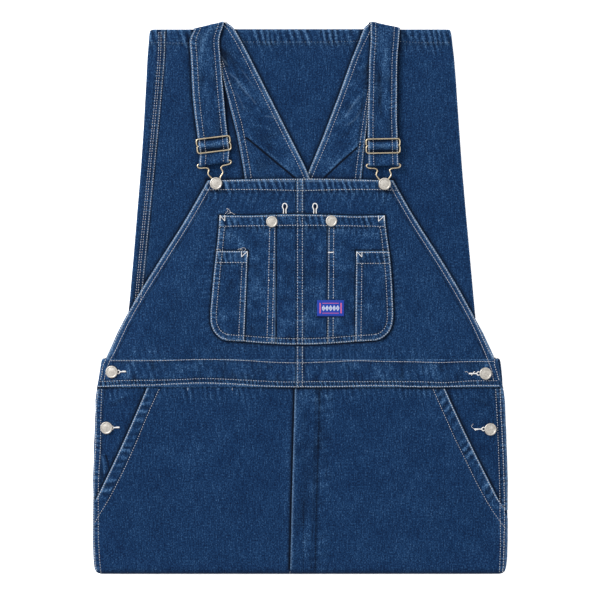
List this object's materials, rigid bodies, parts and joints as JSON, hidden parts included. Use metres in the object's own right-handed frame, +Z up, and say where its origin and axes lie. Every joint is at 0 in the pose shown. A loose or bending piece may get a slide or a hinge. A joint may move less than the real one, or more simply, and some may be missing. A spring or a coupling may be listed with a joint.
{
  "type": "folded denim dungarees",
  "caption": "Wide-leg denim bib dungarees lying face up with the legs folded back under the bib, with wire clasps, sliders and metal buttons.",
  "frame": {"origin": "centre of the flat underside, on the surface that the folded garment lies on", "axes": "+Z up from that surface, +Y from the bottom fold to the shoulder folds, +X to the right as seen from above"},
  "size_m": [0.5705, 0.7628, 0.0181],
  "materials": {
    "denim": "washed indigo twill",
    "denim_worn": "faded indigo twill",
    "denim_dark": "dark indigo twill",
    "brass_wire": "pale lacquered brass wire",
    "button_metal": "aged nickel plate",
    "woven_label": "woven satin"
  },
  "bodies": {
    "root": {"back_bib_l": "denim_worn", "back_bib_r": "denim_worn", "back_extension_l": "denim_dark", "back_extension_r": "denim_dark", "bib_button_l": "button_metal", "bib_button_r": "button_metal", "bib_l": "denim", "bib_narrow_pocket_l": "denim", "bib_narrow_pocket_r": "denim", "bib_pocket": "denim", "bib_r": "denim", "clasp_l": "brass_wire", "clasp_r": "brass_wire", "front_leg_l": "denim", "front_leg_r": "denim", "hidden_layers": "denim_dark", "hip_button_l": "button_metal", "hip_button_r": "button_metal", "hip_facing_l": "denim_dark", "hip_facing_r": "denim_dark", "label": "woven_label", "leg_back_l": "denim", "leg_back_r": "denim", "leg_hem_l": "denim_worn", "leg_hem_r": "denim_worn", "pocket_button_l": "button_metal", "pocket_button_r": "button_metal", "slider_l": "brass_wire", "slider_r": "brass_wire", "strap_l": "denim_worn", "strap_r": "denim_worn", "waist_button_l": "button_metal", "waist_button_r": "button_metal", "waistband_l": "denim_worn", "waistband_r": "denim_worn"}
  },
  "joints": []
}
